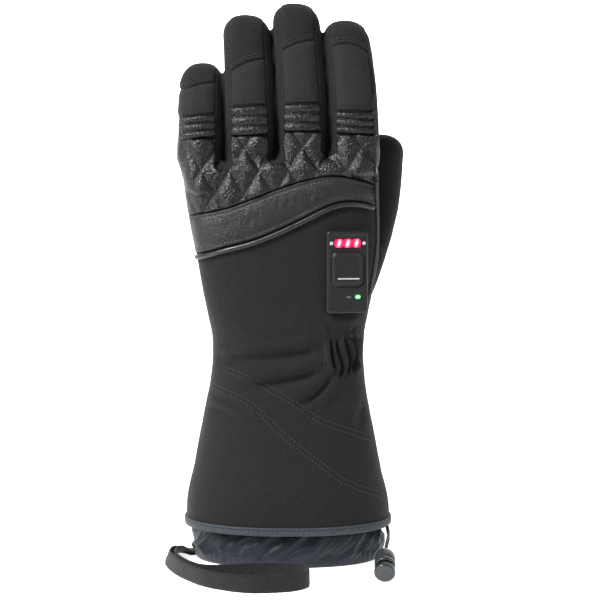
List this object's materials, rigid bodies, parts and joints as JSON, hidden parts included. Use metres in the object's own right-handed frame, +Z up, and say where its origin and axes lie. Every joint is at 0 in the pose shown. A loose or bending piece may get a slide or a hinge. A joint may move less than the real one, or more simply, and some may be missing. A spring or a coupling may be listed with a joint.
{
  "type": "heated glove",
  "caption": "Padded winter glove for the left hand: flared gauntlet, quilted knuckle leather, heater control on the back, snow skirt, drawcord with lock and wrist leash.",
  "frame": {"origin": "middle of the footprint of the glove and its leash, on the floor that it stands on", "axes": "+Z up along the fingers, -Y out of the back of the hand, +X towards the thumb"},
  "size_m": [0.139, 0.1474, 0.3173],
  "materials": {
    "softshell": "matt black stretch softshell",
    "grain_leather": "black grained leather, slightly shiny",
    "smooth_leather": "black smooth leather",
    "slate_tape": "slate grey binding tape",
    "skirt_nylon": "thin slate blue nylon",
    "webbing": "charcoal woven webbing",
    "shock_cord": "black elastic cord",
    "panel_rubber": "satin black moulded rubber",
    "lock_plastic": "slate grey moulded plastic",
    "red_lens": "lit red lamp",
    "green_lens": "lit green lamp"
  },
  "bodies": {
    "glove": {"band_piping": "smooth_leather", "charge_led": "green_lens", "control_panel": "panel_rubber", "cord_lock_barrel": "lock_plastic", "drawcord_back": "shock_cord", "drawcord_front": "shock_cord", "finger_index": "softshell", "finger_little": "softshell", "finger_middle": "softshell", "finger_ring": "softshell", "glove_body": "softshell", "heat_led_1": "red_lens", "heat_led_2": "red_lens", "heat_led_3": "red_lens", "hem_binding": "slate_tape", "knuckle_ribs_index": "grain_leather", "knuckle_ribs_little": "grain_leather", "knuckle_ribs_middle": "grain_leather", "knuckle_ribs_ring": "grain_leather", "leather_band": "smooth_leather", "quilted_panel": "grain_leather", "snow_skirt": "skirt_nylon", "thumb": "softshell", "wrist_leash": "webbing"},
    "plunger": {"cord_lock_plunger": "lock_plastic"}
  },
  "joints": [
    {"name": "cord_lock_press", "type": "slide", "parent": "glove", "child": "plunger", "axis": [0.0637, 0.9113, 0.4067], "range_m": [0, 0.0022], "stiffness_N_per_m": 400}
  ]
}
